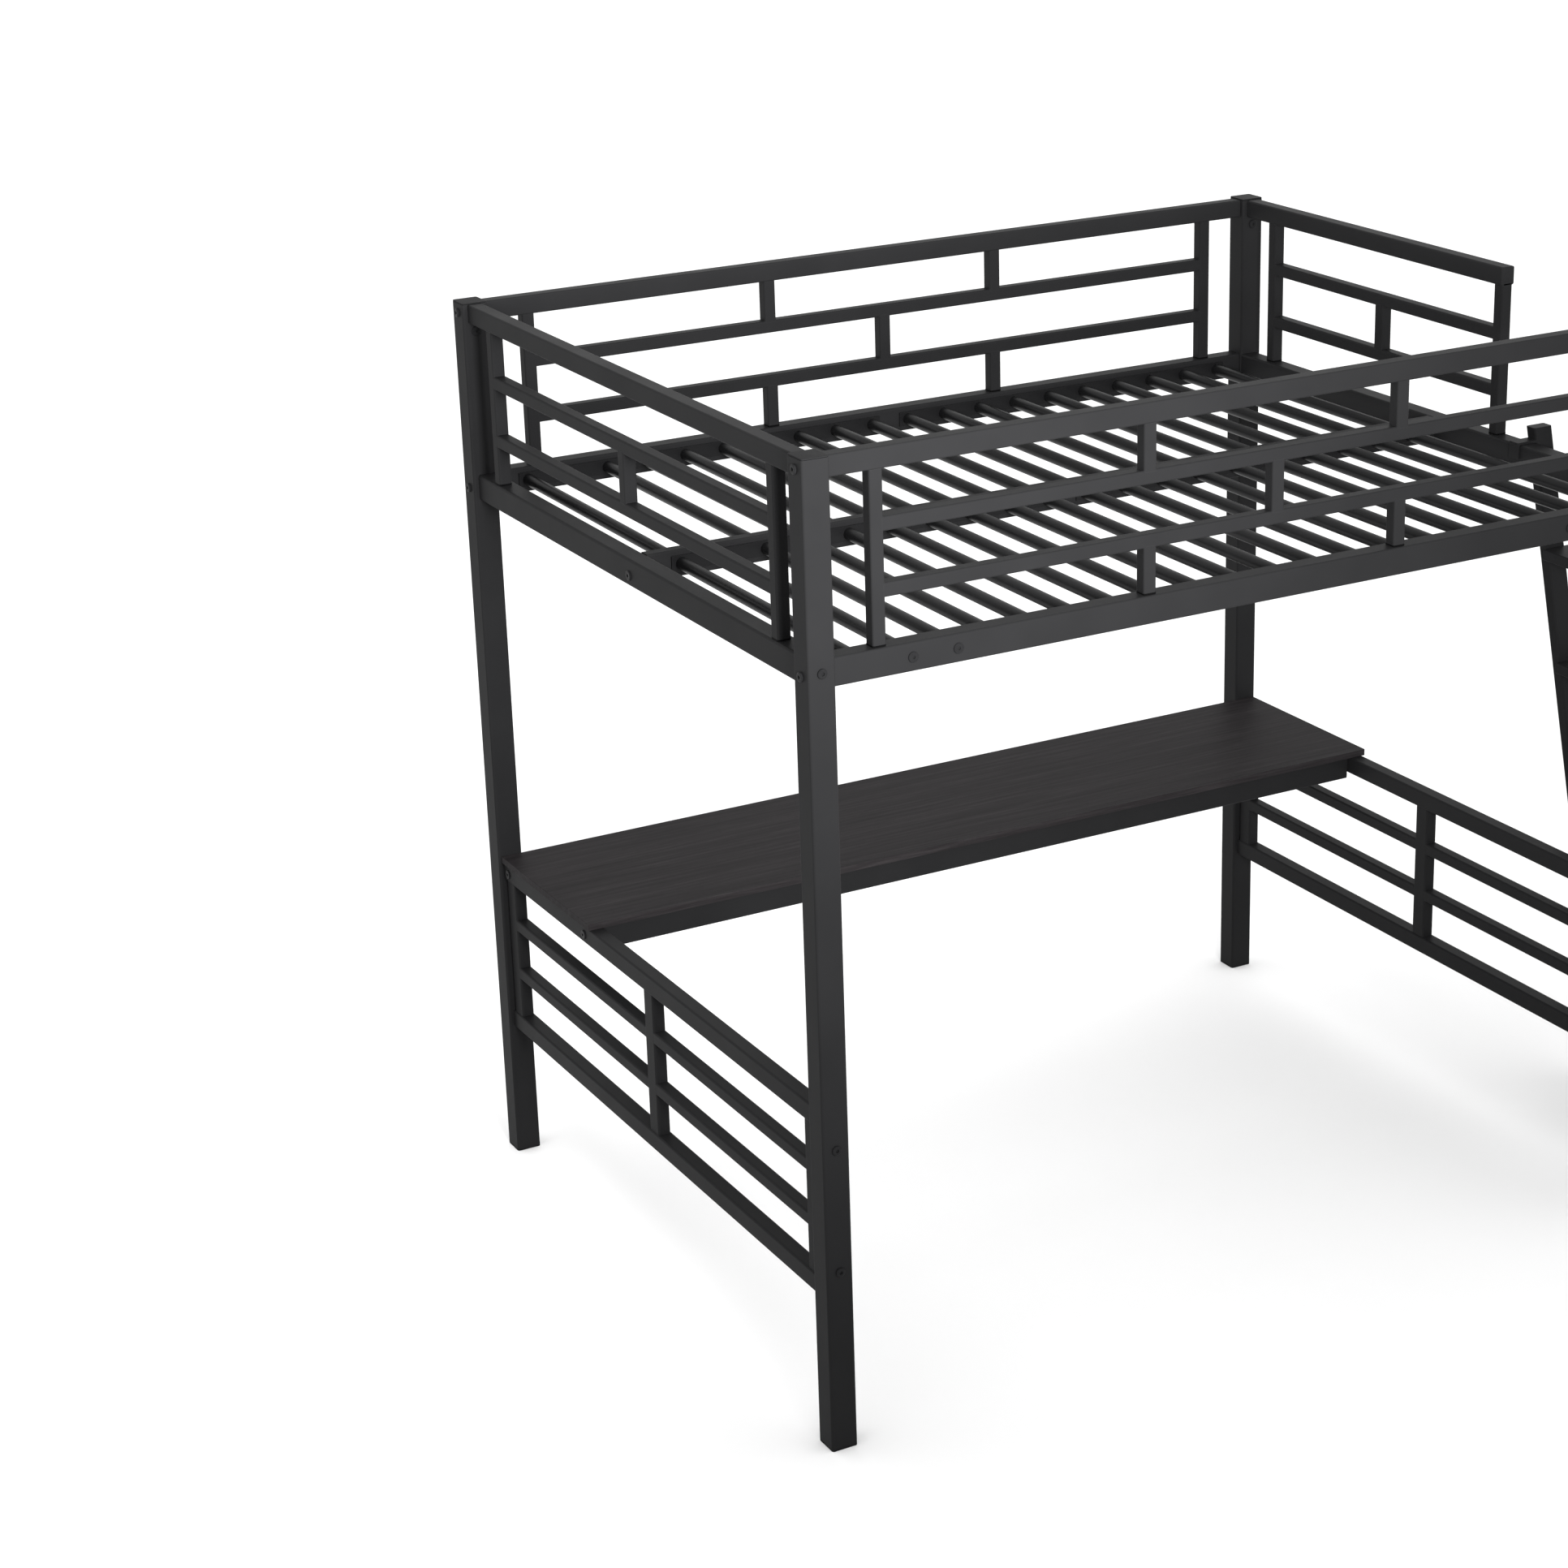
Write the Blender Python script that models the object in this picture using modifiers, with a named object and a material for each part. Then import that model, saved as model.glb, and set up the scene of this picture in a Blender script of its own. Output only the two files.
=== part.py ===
"""Loft bed with a desk under its back side.

Four posts carry a bed base of rails and round slats, with a welded guard on
each side. A welded panel closes each end low down and carries the desk. A
ladder leans on the right end. Metres, +X along the bed, +Y to its back, +Z up.
"""

import math

import bmesh
import bpy

# The bed as a whole
BED_LENGTH = 2.120
BED_WIDTH = 1.640
BED_HEIGHT = 2.052
GAP = 0.0003  # left between any two pieces that touch
WELD = 0.004  # how far one welded bar runs into the next

# Posts, with a plastic pad under each and a plastic cap on each
POST_SIZE = 0.058
POST_CORNER = 0.0055
PAD_THICK = 0.004
CAP_THICK = 0.003
CAP_CORNER = 0.001

# Bed rails, centre beam and slats
RAIL_DEEP = 0.045
RAIL_TALL = 0.058
RAIL_CORNER = 0.0055
END_RAIL_SETBACK = 0.0115  # outer face of an end rail, in from the posts' faces
BED_RAIL_TOP = BED_HEIGHT - 0.386
BEAM_WIDE = 0.029
SLAT_RADIUS = 0.0135
SLATS_PER_RACK = 10
FIRST_SLAT = 0.132  # from the end of the bed to the middle of the first slat
STRIP_THICK = 0.004
STRIP_TALL = 0.034
STRIP_PAST_SLAT = 0.022

# Guards
TOP_RAIL_TALL = 0.042
TOP_RAIL_DEEP = 0.035
THIN_BAR = 0.029
THIN_CORNER = 0.0045
THIN_SLACK = 0.0003  # a cross bar is this much slimmer than an upright
END_UPRIGHT = 0.160  # from the outer face of a post to an upright's middle
SHORT_UPRIGHT = 0.300  # from the middle of a side guard to a short upright
SIDE_UPPER_BAR = BED_HEIGHT - 0.151
SIDE_LOWER_BAR = BED_HEIGHT - 0.278
END_UPPER_BAR = BED_HEIGHT - 0.156
END_LOWER_BAR = BED_HEIGHT - 0.286

# Low end panels and the desk on them
PANEL_TOP = 0.740
PANEL_UPPER_BAR = PANEL_TOP - 0.143
PANEL_LOWER_BAR = PANEL_TOP - 0.264
PANEL_FOOT_BAR = PANEL_TOP - 0.394
PANEL_UPRIGHT_WIDE = 0.044
DESK_THICK = 0.016
DESK_DEEP = 0.482
DESK_END_SETBACK = 0.006
DESK_OVERHANG = 0.016
DESK_CORNER = 0.0012
DESK_BEAM_DEEP = 0.045
DESK_BEAM_TALL = 0.058
CROSS_WIDE = 0.029
CROSS_TALL = 0.040

# Ladder
LADDER_REACH = 0.350  # from the right end of the bed to the far side of its feet
LADDER_SIDE = 0.090  # from the front of the bed to the ladder
LADDER_WIDE = 0.440
LADDER_OPENING = 0.600  # from the front of the bed to the end of the guard
STILE_DEEP = 0.050
STILE_THICK = 0.030
STILE_TOP = BED_RAIL_TOP + 0.034
HOOK_THICK = 0.006
HOOK_DROP = 0.034
STEPS = 5
TOP_STEP_DROP = 0.266  # from the top of the bed rail to the highest step
STEP_RISE = (BED_RAIL_TOP - TOP_STEP_DROP) / STEPS
STEP_DEEP = 0.080
STEP_THICK = 0.025
STEP_CORNER = 0.003

# Bolts
HEAD_RADIUS = 0.010
HEAD_THICK = 0.004
HEAD_EDGE = 0.0008
SHANK_RADIUS = 0.003
HOLE_SLACK = 0.0003
BOLT_BITE = 0.025  # how far a bolt runs into the bar behind the post
HOLE_PAST_BOLT = 0.004
END_RAIL_BOLT = BED_RAIL_TOP - 0.0245
SIDE_RAIL_BOLT = BED_RAIL_TOP - 0.0335
PANEL_UPPER_BOLT = PANEL_TOP - 0.074
PANEL_LOWER_BOLT = PANEL_FOOT_BAR + 0.054
BOLT_SIDES = 16

ALONG_X, ALONG_Y, ALONG_Z = 0, 1, 2
ENDS = ("left", "right")
SIDES = ("front", "back")

# Sizes that follow from the ones above
POST_MIDDLE = POST_SIZE / 2
BED_RAIL_MIDDLE = BED_RAIL_TOP - RAIL_TALL / 2
TOP_RAIL_TOP = BED_HEIGHT - CAP_THICK
TOP_RAIL_MIDDLE = TOP_RAIL_TOP - TOP_RAIL_TALL / 2
SLAT_STEP = (BED_LENGTH - 2 * FIRST_SLAT) / (2 * SLATS_PER_RACK - 1)
END_RAIL_MIDDLE = END_RAIL_SETBACK + RAIL_DEEP / 2
END_RAIL_INNER = END_RAIL_SETBACK + RAIL_DEEP + GAP
STILE_LEAN = LADDER_REACH + END_RAIL_SETBACK - STILE_DEEP - GAP
BOLT_PROUD = HEAD_THICK + GAP


def clear_scene():
    for thing in list(bpy.data.objects):
        bpy.data.objects.remove(thing, do_unlink=True)


def bed_x(from_left_end):
    """Position along the bed. The origin is in the middle of bed and ladder."""
    return from_left_end - (BED_LENGTH + LADDER_REACH - BOLT_PROUD) / 2


def bed_y(from_front):
    return from_front - BED_WIDTH / 2


def at_end(end, inward):
    """X of a point that lies this far in from one end of the bed."""
    return bed_x(inward if end == "left" else BED_LENGTH - inward)


def at_side(side, inward):
    """Y of a point that lies this far in from the front or the back."""
    return bed_y(inward if side == "front" else BED_WIDTH - inward)


def new_collection(name, parent, hidden=False):
    made = bpy.data.collections.new(name)
    parent.children.link(made)
    made.hide_render = hidden
    return made


def new_material(name, colour, roughness, metallic=0.0):
    made = bpy.data.materials.new(name)
    made.use_nodes = True
    shader = made.node_tree.nodes["Principled BSDF"]
    shader.inputs["Base Color"].default_value = (*colour, 1.0)
    shader.inputs["Roughness"].default_value = roughness
    shader.inputs["Metallic"].default_value = metallic
    return made


clear_scene()
PARTS = new_collection("loft_bed_with_desk", bpy.context.scene.collection)
HELPERS = new_collection("loft_bed_helpers", bpy.context.scene.collection, hidden=True)
FRAME_PAINT = new_material("frame_paint", (0.030, 0.030, 0.032), 0.45)
SLAT_PAINT = new_material("slat_paint", (0.028, 0.028, 0.030), 0.45)
PLASTIC = new_material("cap_plastic", (0.020, 0.020, 0.020), 0.60)
LAMINATE = new_material("desk_laminate", (0.045, 0.040, 0.042), 0.55)
BOLT_STEEL = new_material("bolt_steel", (0.050, 0.050, 0.052), 0.35, 0.6)


def make_object(name, shape, centre, material):
    mesh = bpy.data.meshes.new(name)
    shape.to_mesh(mesh)
    shape.free()
    made = bpy.data.objects.new(name, mesh)
    made.location = centre
    made.data.materials.append(material)
    PARTS.objects.link(made)
    return made


def to_helpers(piece, group):
    for home in list(piece.users_collection):
        home.objects.unlink(piece)
    group.objects.link(piece)
    piece.hide_render = True
    piece.display_type = "WIRE"


def bar(name, low, high, along, corner, material):
    """A straight bar between two opposite corners, its long edges rounded."""
    size = [high[axis] - low[axis] for axis in range(3)]
    centre = [(high[axis] + low[axis]) / 2 for axis in range(3)]
    shape = bmesh.new()
    bmesh.ops.create_cube(shape, size=1.0)
    bmesh.ops.scale(shape, vec=size, verts=shape.verts)
    rounding = shape.edges.layers.float.new("bevel_weight_edge")
    for edge in shape.edges:
        run = edge.verts[0].co - edge.verts[1].co
        edge[rounding] = 1.0 if abs(run[along]) > size[along] / 2 else 0.0
    made = make_object(name, shape, centre, material)
    rounded = made.modifiers.new("rounded edges", "BEVEL")
    rounded.width = corner
    rounded.segments = 2
    rounded.limit_method = "WEIGHT"
    return made


def bar_between(name, spans, along, corner, material):
    """The same, from one (low, high) pair for each axis, in any order."""
    low = [min(span) for span in spans]
    high = [max(span) for span in spans]
    return bar(name, low, high, along, corner, material)


def around(middle, width):
    return (middle - width / 2, middle + width / 2)


def rod(name, centre, radius, length, along, sides, material):
    shape = bmesh.new()
    bmesh.ops.create_cone(
        shape,
        cap_ends=True,
        segments=sides,
        radius1=radius,
        radius2=radius,
        depth=length,
    )
    made = make_object(name, shape, centre, material)
    if along == ALONG_X:
        made.rotation_euler = (0.0, math.pi / 2, 0.0)
    if along == ALONG_Y:
        made.rotation_euler = (math.pi / 2, 0.0, 0.0)
    return made


def combine(body, others, operation):
    group = new_collection(f"{body.name} {operation.lower()}", HELPERS)
    for other in others:
        to_helpers(other, group)
    joined = body.modifiers.new(operation.lower(), "BOOLEAN")
    joined.operation = operation
    joined.solver = "EXACT"
    joined.operand_type = "COLLECTION"
    joined.collection = group


def weld(pieces):
    combine(pieces[0], pieces[1:], "UNION")
    return pieces[0]


def drill(body, spots):
    """Cuts bolt holes: each spot is the hole's centre, its length and its run."""
    cutters = [
        rod(
            f"{body.name} hole {number}",
            centre,
            SHANK_RADIUS + HOLE_SLACK,
            length,
            along,
            BOLT_SIDES,
            BOLT_STEEL,
        )
        for number, (centre, length, along) in enumerate(spots)
    ]
    combine(body, cutters, "DIFFERENCE")


def end_hole(face, inward, across, along):
    """A blind hole from the end face of a bar. Inward is +1 or -1."""
    deep = BOLT_BITE + HOLE_PAST_BOLT
    centre = [0.0, 0.0, across[1]]
    centre[along] = face + inward * (deep / 2 - HOLE_PAST_BOLT)
    centre[1 - along] = across[0]
    return (centre, deep + 2 * HOLE_PAST_BOLT, along)


def posts():
    for end in ENDS:
        for side in SIDES:
            x = around(at_end(end, POST_MIDDLE), POST_SIZE)
            y = around(at_side(side, POST_MIDDLE), POST_SIZE)
            low = PAD_THICK + GAP
            high = BED_HEIGHT - CAP_THICK - GAP
            place = f"{side}_{end}"
            spans = [x, y, (low, high)]
            post = bar_between(f"post_{place}", spans, ALONG_Z, POST_CORNER, FRAME_PAINT)
            across = (sum(x) / 2, sum(y) / 2)
            through = POST_SIZE * 1.2
            spots = [
                ((*across, END_RAIL_BOLT), through, ALONG_Y),
                ((*across, PANEL_UPPER_BOLT), through, ALONG_Y),
                ((*across, PANEL_LOWER_BOLT), through, ALONG_Y),
                ((*across, SIDE_RAIL_BOLT), through, ALONG_X),
                ((*across, TOP_RAIL_MIDDLE), through, ALONG_X),
            ]
            drill(post, spots)
            plate(f"foot_pad_{place}", x, y, (0.0, PAD_THICK))
            plate(f"post_cap_{place}", x, y, (BED_HEIGHT - CAP_THICK, BED_HEIGHT))


def plate(name, x, y, z):
    made = bar_between(name, [x, y, z], ALONG_Z, POST_CORNER, PLASTIC)
    softened = made.modifiers.new("soft edge", "BEVEL")
    softened.width = CAP_CORNER
    softened.segments = 1
    softened.limit_method = "ANGLE"
    softened.angle_limit = math.radians(60)
    return made


def bolts():
    for end in ENDS:
        for side in SIDES:
            outward_y = -1 if side == "front" else 1
            outward_x = -1 if end == "left" else 1
            middle_x = at_end(end, POST_MIDDLE)
            middle_y = at_side(side, POST_MIDDLE)
            face_y = at_side(side, 0.0)
            face_x = at_end(end, 0.0)
            place = f"{side}_{end}"
            heights = {
                "end_rail": END_RAIL_BOLT,
                "panel_upper": PANEL_UPPER_BOLT,
                "panel_lower": PANEL_LOWER_BOLT,
            }
            for use, height in heights.items():
                made = bolt(f"bolt_{use}_{place}")
                made.location = (middle_x, face_y + outward_y * GAP, height)
                made.rotation_euler = (-outward_y * math.pi / 2, 0.0, 0.0)
            for use, height in {"side_rail": SIDE_RAIL_BOLT, "guard": TOP_RAIL_MIDDLE}.items():
                made = bolt(f"bolt_{use}_{place}")
                made.location = (face_x + outward_x * GAP, middle_y, height)
                made.rotation_euler = (0.0, outward_x * math.pi / 2, 0.0)


def bolt(name):
    """A flat round-headed bolt, head up, turned from its outline."""
    shank = GAP + POST_SIZE + BOLT_BITE
    outline = [
        (0.0, HEAD_THICK),
        (HEAD_RADIUS - HEAD_EDGE, HEAD_THICK),
        (HEAD_RADIUS, HEAD_THICK - HEAD_EDGE),
        (HEAD_RADIUS, 0.0),
        (SHANK_RADIUS, 0.0),
        (SHANK_RADIUS, -shank),
        (0.0, -shank),
    ]
    mesh = bpy.data.meshes.new(name)
    points = [(radius, 0.0, height) for radius, height in outline]
    lines = [(number, number + 1) for number in range(len(points) - 1)]
    mesh.from_pydata(points, lines, [])
    made = bpy.data.objects.new(name, mesh)
    made.data.materials.append(BOLT_STEEL)
    PARTS.objects.link(made)
    turned = made.modifiers.new("turned", "SCREW")
    turned.axis = "Z"
    turned.angle = 2 * math.pi
    turned.steps = BOLT_SIDES
    turned.render_steps = BOLT_SIDES
    turned.use_merge_vertices = True
    turned.merge_threshold = 0.0001
    return made


def bed_rails():
    rail_z = (BED_RAIL_TOP - RAIL_TALL, BED_RAIL_TOP)
    inset = POST_SIZE + GAP
    for side in SIDES:
        y = around(at_side(side, POST_MIDDLE), RAIL_DEEP)
        x = (at_end("left", inset), at_end("right", inset))
        rail = bar_between(f"bed_rail_{side}", [x, y, rail_z], ALONG_X, RAIL_CORNER, FRAME_PAINT)
        across = (sum(y) / 2, SIDE_RAIL_BOLT)
        drill(rail, [end_hole(x[0], 1, across, ALONG_X), end_hole(x[1], -1, across, ALONG_X)])
    for end in ENDS:
        x = around(at_end(end, END_RAIL_MIDDLE), RAIL_DEEP)
        y = (at_side("front", inset), at_side("back", inset))
        rail = bar_between(f"bed_rail_{end}", [x, y, rail_z], ALONG_Y, RAIL_CORNER, FRAME_PAINT)
        across = (at_end(end, POST_MIDDLE), END_RAIL_BOLT)
        drill(rail, [end_hole(y[0], 1, across, ALONG_Y), end_hole(y[1], -1, across, ALONG_Y)])
    x = (at_end("left", END_RAIL_INNER), at_end("right", END_RAIL_INNER))
    y = around(bed_y(BED_WIDTH / 2), BEAM_WIDE)
    bar_between("centre_beam", [x, y, rail_z], ALONG_X, THIN_CORNER, FRAME_PAINT)


def slat_racks():
    rail_inner = POST_MIDDLE + RAIL_DEEP / 2 + GAP
    beam_inner = BED_WIDTH / 2 - BEAM_WIDE / 2 - GAP
    for side in SIDES:
        outer = at_side(side, rail_inner)
        inner = at_side(side, beam_inner)
        inward = 1 if inner > outer else -1
        for end in ENDS:
            name = f"slat_rack_{side}_{end}"
            places = [
                at_end(end, FIRST_SLAT + number * SLAT_STEP) for number in range(SLATS_PER_RACK)
            ]
            x = (min(places) - STRIP_PAST_SLAT, max(places) + STRIP_PAST_SLAT)
            strip_z = around(BED_RAIL_MIDDLE, STRIP_TALL)
            strips = []
            for label, start, step in (("rail", outer, inward), ("beam", inner, -inward)):
                y = (start, start + step * STRIP_THICK)
                spans = [x, y, strip_z]
                strips.append(bar_between(f"{name} {label} strip", spans, ALONG_X, 0.001, SLAT_PAINT))
            length = abs(inner - outer) - STRIP_THICK
            middle = (inner + outer) / 2
            slats = [
                rod(
                    f"{name} slat {number}",
                    (place, middle, BED_RAIL_MIDDLE),
                    SLAT_RADIUS,
                    length,
                    ALONG_Y,
                    16,
                    SLAT_PAINT,
                )
                for number, place in enumerate(places)
            ]
            rack = weld([*strips, *slats])
            rack.name = name


def side_guards():
    inset = POST_SIZE + GAP
    middle = BED_LENGTH / 2
    slim = THIN_BAR - THIN_SLACK
    foot = BED_RAIL_TOP + GAP
    for side in SIDES:
        y_middle = at_side(side, POST_MIDDLE)
        top_x = (at_end("left", inset), at_end("right", inset))
        top_z = (TOP_RAIL_TOP - TOP_RAIL_TALL, TOP_RAIL_TOP)
        top_y = around(y_middle, TOP_RAIL_DEEP)
        name = f"guard_{side}"
        pieces = [bar_between(name, [top_x, top_y, top_z], ALONG_X, THIN_CORNER, FRAME_PAINT)]

        def upright(label, from_left, low, high):
            spans = [around(bed_x(from_left), THIN_BAR), around(y_middle, THIN_BAR), (low, high)]
            made = bar_between(f"{name} {label}", spans, ALONG_Z, THIN_CORNER, FRAME_PAINT)
            pieces.append(made)

        high = TOP_RAIL_TOP - TOP_RAIL_TALL + WELD
        upper = SIDE_UPPER_BAR
        lower = SIDE_LOWER_BAR
        for label, place in (("left", END_UPRIGHT), ("right", BED_LENGTH - END_UPRIGHT)):
            upright(f"{label} upright", place, foot, high)
        for label, place in (("left", middle - SHORT_UPRIGHT), ("right", middle + SHORT_UPRIGHT)):
            upright(f"{label} upper short", place, upper + slim / 2 - WELD, high)
            upright(f"{label} lower short", place, foot, lower - slim / 2 + WELD)
        low = lower + slim / 2 - WELD
        upright("middle short", middle, low, upper - slim / 2 + WELD)
        reach = END_UPRIGHT + THIN_BAR / 2 - WELD
        bar_x = (at_end("left", reach), at_end("right", reach))
        for label, height in (("upper", upper), ("lower", lower)):
            spans = [bar_x, around(y_middle, slim), around(height, slim)]
            made = bar_between(f"{name} {label} bar", spans, ALONG_X, THIN_CORNER, FRAME_PAINT)
            pieces.append(made)
        guard = weld(pieces)
        across = (y_middle, TOP_RAIL_MIDDLE)
        spots = [end_hole(top_x[0], 1, across, ALONG_X), end_hole(top_x[1], -1, across, ALONG_X)]
        drill(guard, spots)


def end_guard(end, first_upright, top_start):
    """An end guard whose bars begin at its first upright, counted from the front."""
    slim = THIN_BAR - THIN_SLACK
    foot = BED_RAIL_TOP + GAP
    x_middle = at_end(end, POST_MIDDLE)
    last_upright = BED_WIDTH - END_UPRIGHT
    name = f"guard_{end}"
    spans = [
        around(x_middle, TOP_RAIL_DEEP),
        (bed_y(top_start), at_side("back", POST_SIZE + GAP)),
        (TOP_RAIL_TOP - TOP_RAIL_TALL, TOP_RAIL_TOP),
    ]
    pieces = [bar_between(name, spans, ALONG_Y, THIN_CORNER, FRAME_PAINT)]
    high = TOP_RAIL_TOP - TOP_RAIL_TALL + WELD
    uprights = (
        ("front upright", first_upright, foot, high),
        ("back upright", last_upright, foot, high),
        (
            "middle short",
            (first_upright + last_upright) / 2,
            END_LOWER_BAR + slim / 2 - WELD,
            END_UPPER_BAR - slim / 2 + WELD,
        ),
    )
    for label, place, low, top in uprights:
        spans = [around(x_middle, THIN_BAR), around(bed_y(place), THIN_BAR), (low, top)]
        made = bar_between(f"{name} {label}", spans, ALONG_Z, THIN_CORNER, FRAME_PAINT)
        pieces.append(made)
    reach = THIN_BAR / 2 - WELD
    bar_y = (bed_y(first_upright + reach), bed_y(last_upright - reach))
    for label, height in (("upper", END_UPPER_BAR), ("lower", END_LOWER_BAR)):
        spans = [around(x_middle, slim), bar_y, around(height, slim)]
        made = bar_between(f"{name} {label} bar", spans, ALONG_Y, THIN_CORNER, FRAME_PAINT)
        pieces.append(made)
    weld(pieces)


def end_panels():
    slim = THIN_BAR - THIN_SLACK
    inset = POST_SIZE + GAP
    for end in ENDS:
        x_middle = at_end(end, POST_MIDDLE)
        name = f"end_panel_{end}"
        full_y = (at_side("front", inset), at_side("back", inset))
        top_z = (PANEL_TOP - TOP_RAIL_TALL, PANEL_TOP)
        top_x = around(x_middle, TOP_RAIL_DEEP)
        pieces = [bar_between(name, [top_x, full_y, top_z], ALONG_Y, THIN_CORNER, FRAME_PAINT)]
        foot_z = around(PANEL_FOOT_BAR, TOP_RAIL_TALL)
        spans = [top_x, full_y, foot_z]
        pieces.append(bar_between(f"{name} foot bar", spans, ALONG_Y, THIN_CORNER, FRAME_PAINT))
        upright_z = (max(foot_z) - WELD, min(top_z) + WELD)
        end_middle = inset + WELD + PANEL_UPRIGHT_WIDE / 2
        places = {
            "front": at_side("front", end_middle),
            "middle": bed_y(BED_WIDTH / 2),
            "back": at_side("back", end_middle),
        }
        for label, place in places.items():
            spans = [around(x_middle, THIN_BAR), around(place, PANEL_UPRIGHT_WIDE), upright_z]
            made = bar_between(f"{name} {label}", spans, ALONG_Z, THIN_CORNER, FRAME_PAINT)
            pieces.append(made)
        bar_y = (places["front"], places["back"])
        for label, height in (("upper", PANEL_UPPER_BAR), ("lower", PANEL_LOWER_BAR)):
            spans = [around(x_middle, slim), bar_y, around(height, slim)]
            made = bar_between(f"{name} {label} bar", spans, ALONG_Y, THIN_CORNER, FRAME_PAINT)
            pieces.append(made)
        panel = weld(pieces)
        spots = []
        for height in (PANEL_UPPER_BOLT, PANEL_LOWER_BOLT):
            spots.append(end_hole(full_y[0], 1, (x_middle, height), ALONG_Y))
            spots.append(end_hole(full_y[1], -1, (x_middle, height), ALONG_Y))
        drill(panel, spots)


def desk():
    back = at_side("back", POST_SIZE + GAP)
    front = back - DESK_DEEP
    board_z = (PANEL_TOP + GAP, PANEL_TOP + GAP + DESK_THICK)
    x = (at_end("left", DESK_END_SETBACK), at_end("right", DESK_END_SETBACK))
    board = bar_between("desk_board", [x, (front, back), board_z], ALONG_Z, DESK_CORNER, LAMINATE)
    softened = board.modifiers.new("soft edge", "BEVEL")
    softened.width = DESK_CORNER / 2
    softened.segments = 1
    softened.limit_method = "ANGLE"
    softened.angle_limit = math.radians(60)
    inset = POST_MIDDLE + TOP_RAIL_DEEP / 2 + GAP
    beam_x = (at_end("left", inset), at_end("right", inset))
    beam_z = (PANEL_TOP - DESK_BEAM_TALL, PANEL_TOP)
    front_y = (front + DESK_OVERHANG, front + DESK_OVERHANG + DESK_BEAM_DEEP)
    back_y = (back - DESK_BEAM_DEEP, back)
    for label, y in (("front", front_y), ("back", back_y)):
        spans = [beam_x, y, beam_z]
        bar_between(f"desk_beam_{label}", spans, ALONG_X, RAIL_CORNER, FRAME_PAINT)
    spans = [
        around(bed_x(BED_LENGTH / 2), CROSS_WIDE),
        (max(front_y) + GAP, min(back_y) - GAP),
        (PANEL_TOP - CROSS_TALL, PANEL_TOP),
    ]
    bar_between("desk_cross_bar", spans, ALONG_Y, THIN_CORNER, FRAME_PAINT)


def stile_middle(height):
    """X of the middle of a ladder stile at this height. It leans on the bed rail."""
    rail_face = at_end("right", END_RAIL_SETBACK) + GAP
    slope = STILE_LEAN / BED_RAIL_TOP
    return rail_face + STILE_DEEP / 2 + (BED_RAIL_TOP - height) * slope


def ladder():
    hook_low = BED_RAIL_TOP + GAP
    rail_inner = at_end("right", END_RAIL_INNER)
    for label, from_front in (
        ("front", LADDER_SIDE),
        ("back", LADDER_SIDE + LADDER_WIDE - STILE_THICK),
    ):
        y = (bed_y(from_front), bed_y(from_front + STILE_THICK))
        name = f"ladder_stile_{label}"
        spans = [around(0.0, STILE_DEEP), y, (0.0, STILE_TOP)]
        stile = bar_between(name, spans, ALONG_Z, THIN_CORNER, FRAME_PAINT)
        for vertex in stile.data.vertices:
            vertex.co.x += stile_middle(vertex.co.z + STILE_TOP / 2)
        slim_y = (y[0] + THIN_SLACK, y[1] - THIN_SLACK)
        hook_end = stile_middle(hook_low)
        over = [(rail_inner - HOOK_THICK, hook_end), slim_y, (hook_low, hook_low + HOOK_THICK)]
        over_rail = bar_between(f"{name} hook", over, ALONG_Y, 0.001, FRAME_PAINT)
        drop = (hook_low + HOOK_THICK / 2 - HOOK_DROP, hook_low + HOOK_THICK / 2)
        down = [(rail_inner - HOOK_THICK + THIN_SLACK, rail_inner), y, drop]
        lip = bar_between(f"{name} lip", down, ALONG_Z, 0.001, FRAME_PAINT)
        weld([stile, over_rail, lip])
    inner = STILE_THICK + GAP
    y = (bed_y(LADDER_SIDE + inner), bed_y(LADDER_SIDE + LADDER_WIDE - inner))
    for number in range(1, STEPS + 1):
        height = number * STEP_RISE
        spans = [around(stile_middle(height), STEP_DEEP), y, around(height, STEP_THICK)]
        bar_between(f"ladder_step_{number}", spans, ALONG_Y, STEP_CORNER, FRAME_PAINT)


posts()
bed_rails()
slat_racks()
side_guards()
end_guard("left", END_UPRIGHT, POST_SIZE + GAP)
end_guard("right", LADDER_OPENING + THIN_BAR / 2, LADDER_OPENING)
end_panels()
desk()
ladder()
bolts()
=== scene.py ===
import math

import bpy
import numpy as np
from mathutils import Euler, Matrix, Vector


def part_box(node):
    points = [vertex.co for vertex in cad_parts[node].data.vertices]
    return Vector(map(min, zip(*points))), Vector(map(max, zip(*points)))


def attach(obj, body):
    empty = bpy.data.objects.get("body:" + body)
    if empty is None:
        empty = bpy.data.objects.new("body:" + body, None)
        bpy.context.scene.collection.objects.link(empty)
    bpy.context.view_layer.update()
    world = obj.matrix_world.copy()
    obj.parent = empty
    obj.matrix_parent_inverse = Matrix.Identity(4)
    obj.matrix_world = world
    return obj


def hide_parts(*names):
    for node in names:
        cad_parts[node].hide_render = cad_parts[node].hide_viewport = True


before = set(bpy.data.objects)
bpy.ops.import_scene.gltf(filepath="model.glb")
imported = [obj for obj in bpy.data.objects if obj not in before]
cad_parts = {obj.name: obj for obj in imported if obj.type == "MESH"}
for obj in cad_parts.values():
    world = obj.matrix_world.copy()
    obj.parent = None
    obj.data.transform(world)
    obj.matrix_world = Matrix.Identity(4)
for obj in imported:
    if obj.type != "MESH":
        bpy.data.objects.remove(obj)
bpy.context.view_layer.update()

# Sizes that the finer pieces share with the solids, in metres
POST_CORNER = 0.0055
RAIL_CORNER = 0.0055
THIN_CORNER = 0.0045
THIN_BAR = 0.029
THIN_SLACK = 0.0003
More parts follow.
